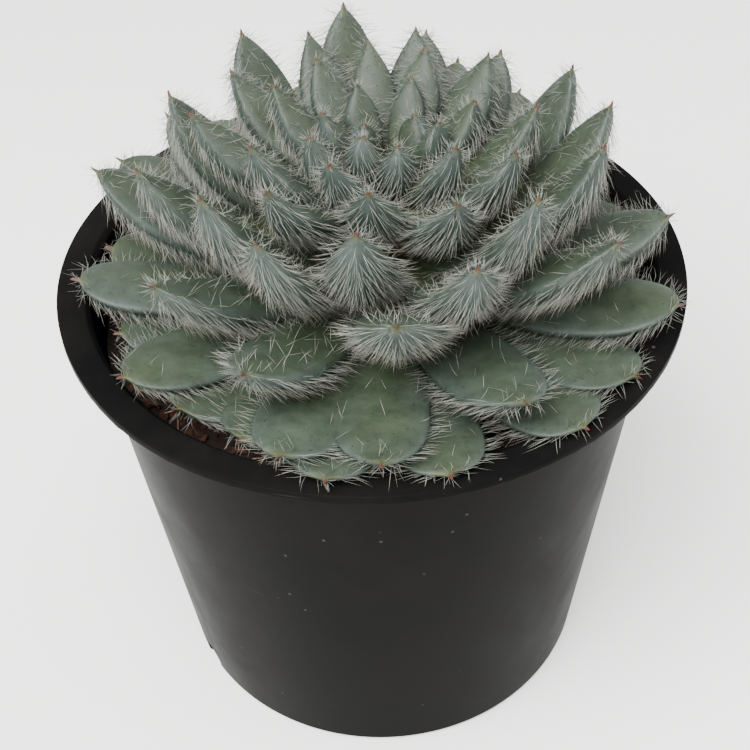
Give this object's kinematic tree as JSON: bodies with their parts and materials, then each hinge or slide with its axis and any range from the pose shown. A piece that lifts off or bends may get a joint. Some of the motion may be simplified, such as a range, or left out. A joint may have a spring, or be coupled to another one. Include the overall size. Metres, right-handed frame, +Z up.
{
  "type": "potted succulent",
  "caption": "Hairy rosette succulent with pointed fleshy leaves, growing in potting mix in a round tapered black plastic nursery pot with a turned-down rim.",
  "frame": {"origin": "middle of the pot's foot, on the surface that it stands on", "axes": "+Z up along the pot's axis; -Y towards the side that the object is usually seen from"},
  "size_m": [0.127, 0.127, 0.141],
  "materials": {
    "pot_plastic": "black moulded polypropylene, satin, faint dust and scuffs",
    "potting_mix": "dark peat and reddish-brown coir with pale perlite, rough",
    "stem_bark": "fleshy stem with brownish leaf scars, matte",
    "leaf_skin": "grey-green waxy leaf skin with red-brown tips and fine white hairs, matte"
  },
  "bodies": {
    "root": {"pot": "pot_plastic", "potting_mix": "potting_mix", "stem": "stem_bark", "rosette_heart": "leaf_skin", "skirt_leaf_01": "leaf_skin", "skirt_leaf_02": "leaf_skin", "skirt_leaf_03": "leaf_skin", "skirt_leaf_04": "leaf_skin", "skirt_leaf_05": "leaf_skin", "skirt_leaf_06": "leaf_skin", "skirt_leaf_07": "leaf_skin", "skirt_leaf_08": "leaf_skin", "skirt_leaf_09": "leaf_skin", "skirt_leaf_10": "leaf_skin", "skirt_leaf_11": "leaf_skin", "skirt_leaf_12": "leaf_skin", "skirt_leaf_13": "leaf_skin", "skirt_leaf_14": "leaf_skin", "skirt_leaf_15": "leaf_skin", "skirt_leaf_16": "leaf_skin", "lower_leaf_01": "leaf_skin", "lower_leaf_02": "leaf_skin", "lower_leaf_03": "leaf_skin", "lower_leaf_04": "leaf_skin", "lower_leaf_05": "leaf_skin", "lower_leaf_06": "leaf_skin", "lower_leaf_07": "leaf_skin", "lower_leaf_08": "leaf_skin", "lower_leaf_09": "leaf_skin", "lower_leaf_10": "leaf_skin", "lower_leaf_11": "leaf_skin", "lower_leaf_12": "leaf_skin", "lower_leaf_13": "leaf_skin", "middle_leaf_01": "leaf_skin", "middle_leaf_02": "leaf_skin", "middle_leaf_03": "leaf_skin", "middle_leaf_04": "leaf_skin", "middle_leaf_05": "leaf_skin", "middle_leaf_06": "leaf_skin", "middle_leaf_07": "leaf_skin", "middle_leaf_08": "leaf_skin", "middle_leaf_09": "leaf_skin", "middle_leaf_10": "leaf_skin", "middle_leaf_11": "leaf_skin", "middle_leaf_12": "leaf_skin", "upper_leaf_01": "leaf_skin", "upper_leaf_02": "leaf_skin", "upper_leaf_03": "leaf_skin", "upper_leaf_04": "leaf_skin", "upper_leaf_05": "leaf_skin", "upper_leaf_06": "leaf_skin", "upper_leaf_07": "leaf_skin", "upper_leaf_08": "leaf_skin", "upper_leaf_09": "leaf_skin", "upper_leaf_10": "leaf_skin", "upper_leaf_11": "leaf_skin", "upper_leaf_12": "leaf_skin", "upper_leaf_13": "leaf_skin", "upper_leaf_14": "leaf_skin"}
  },
  "joints": []
}
